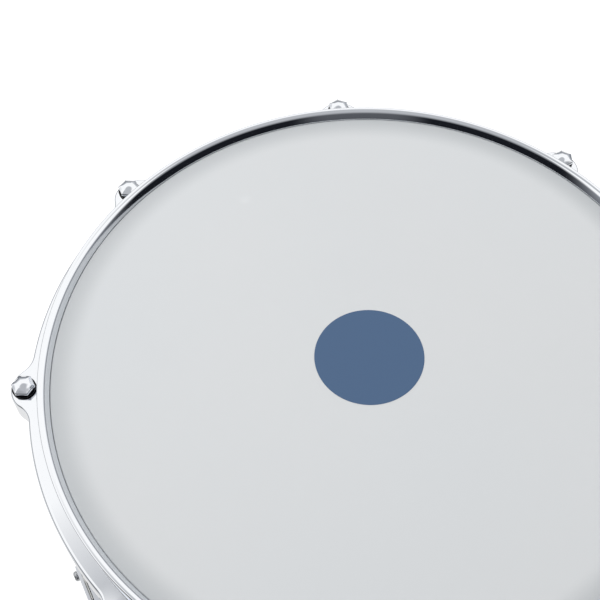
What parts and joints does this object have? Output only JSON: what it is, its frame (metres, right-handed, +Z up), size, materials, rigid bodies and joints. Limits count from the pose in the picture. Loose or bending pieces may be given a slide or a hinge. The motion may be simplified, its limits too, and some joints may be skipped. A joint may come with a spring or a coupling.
{
  "type": "caixa snare drum",
  "caption": "Brazilian caixa: a shallow beaded metal snare drum with flanged hoops clamped by through rods and dome nuts, and snares with a throw-off under it.",
  "frame": {"origin": "on the drum's axis, at the height of the surface that the snare-side hoop stands on", "axes": "+Z up along the drum's axis, towards the batter head; +X along the snares, towards the strainer; +Y towards the vent"},
  "size_m": [0.345, 0.3308, 0.162],
  "materials": {
    "chrome": "bright chrome plate",
    "bright_steel": "bright zinc plate",
    "shell_metal": "spun, satin",
    "head_film": "smooth translucent film",
    "strap": "woven nylon tape"
  },
  "bodies": {
    "drum": {"shell": "shell_metal", "batter_film": "head_film", "batter_flesh_hoop": "shell_metal", "snare_side_film": "head_film", "snare_side_flesh_hoop": "shell_metal", "top_hoop": "chrome", "bottom_hoop": "chrome", "vent_eyelet": "chrome", "strainer_base": "chrome", "butt_base": "chrome", "butt_clamp_plate": "chrome", "butt_clamp_plate_screw_1": "bright_steel", "butt_clamp_plate_screw_2": "bright_steel", "strainer_fixing_screw_1": "bright_steel", "strainer_fixing_screw_2": "bright_steel", "butt_fixing_screw_1": "bright_steel", "butt_fixing_screw_2": "bright_steel", "tension_rod_1": "chrome", "tension_rod_2": "chrome", "tension_rod_3": "chrome", "tension_rod_4": "chrome", "tension_rod_5": "chrome", "tension_rod_6": "chrome", "tension_rod_7": "chrome", "tension_rod_8": "chrome", "top_washer_1": "chrome", "top_washer_2": "chrome", "top_washer_3": "chrome", "top_washer_4": "chrome", "top_washer_5": "chrome", "top_washer_6": "chrome", "top_washer_7": "chrome", "top_washer_8": "chrome", "bottom_washer_1": "chrome", "bottom_washer_2": "chrome", "bottom_washer_3": "chrome", "bottom_washer_4": "chrome", "bottom_washer_5": "chrome", "bottom_washer_6": "chrome", "bottom_washer_7": "chrome", "bottom_washer_8": "chrome"},
    "nut_1": {"tension_nut_1": "chrome"},
    "nut_2": {"tension_nut_2": "chrome"},
    "nut_3": {"tension_nut_3": "chrome"},
    "nut_4": {"tension_nut_4": "chrome"},
    "nut_5": {"tension_nut_5": "chrome"},
    "nut_6": {"tension_nut_6": "chrome"},
    "nut_7": {"tension_nut_7": "chrome"},
    "nut_8": {"tension_nut_8": "chrome"},
    "lever": {"throw_off_lever": "chrome"},
    "slide": {"strainer_slide": "chrome"},
    "knob": {"tension_knob": "chrome"},
    "strap_clamp": {"strap_clamp_block": "chrome", "strap_clamp_plate": "chrome", "strap_clamp_plate_screw_1": "bright_steel", "strap_clamp_plate_screw_2": "bright_steel"},
    "snares": {"snare_wires": "bright_steel", "strainer_strap": "strap", "butt_strap": "strap"}
  },
  "joints": [
    {"name": "nut_1_turn", "type": "hinge", "parent": "drum", "child": "nut_1", "pos_m": [0.15521, 0.06429, 0.152], "axis": [0, 0, 1], "range_deg": [-180, 180]},
    {"name": "nut_2_turn", "type": "hinge", "parent": "drum", "child": "nut_2", "pos_m": [0.06429, 0.15521, 0.152], "axis": [0, 0, 1], "range_deg": [-180, 180]},
    {"name": "nut_3_turn", "type": "hinge", "parent": "drum", "child": "nut_3", "pos_m": [-0.06429, 0.15521, 0.152], "axis": [0, 0, 1], "range_deg": [-180, 180]},
    {"name": "nut_4_turn", "type": "hinge", "parent": "drum", "child": "nut_4", "pos_m": [-0.15521, 0.06429, 0.152], "axis": [0, 0, 1], "range_deg": [-180, 180]},
    {"name": "nut_5_turn", "type": "hinge", "parent": "drum", "child": "nut_5", "pos_m": [-0.15521, -0.06429, 0.152], "axis": [0, 0, 1], "range_deg": [-180, 180]},
    {"name": "nut_6_turn", "type": "hinge", "parent": "drum", "child": "nut_6", "pos_m": [-0.06429, -0.15521, 0.152], "axis": [0, 0, 1], "range_deg": [-180, 180]},
    {"name": "nut_7_turn", "type": "hinge", "parent": "drum", "child": "nut_7", "pos_m": [0.06429, -0.15521, 0.152], "axis": [0, 0, 1], "range_deg": [-180, 180]},
    {"name": "nut_8_turn", "type": "hinge", "parent": "drum", "child": "nut_8", "pos_m": [0.15521, -0.06429, 0.152], "axis": [0, 0, 1], "range_deg": [-180, 180]},
    {"name": "lever_throw", "type": "hinge", "parent": "drum", "child": "lever", "pos_m": [0.1624, 0, 0.05], "axis": [0, 1, 0], "range_deg": [0, 90]},
    {"name": "slide_drop", "type": "slide", "parent": "drum", "child": "slide", "axis": [0, 0, 1], "range_m": [-0.004, 0]},
    {"name": "snares_drop", "type": "slide", "parent": "drum", "child": "snares", "axis": [0, 0, 1], "range_m": [-0.0015, 0]},
    {"name": "knob_turn", "type": "hinge", "parent": "slide", "child": "knob", "pos_m": [0.1633, 0, 0.068], "axis": [0, 0, 1], "range_deg": [-720, 720]},
    {"name": "strap_clamp_lift", "type": "slide", "parent": "slide", "child": "strap_clamp", "axis": [0, 0, 1], "range_m": [-0.0014, 0.0014]}
  ],
  "couplings": [
    {"joint": "slide_drop", "follows": "lever_throw", "m_per_rad": -0.002546},
    {"joint": "snares_drop", "follows": "lever_throw", "m_per_rad": -0.00095},
    {"joint": "knob_turn", "follows": "strap_clamp_lift", "rad_per_m": 8975}
  ]
}
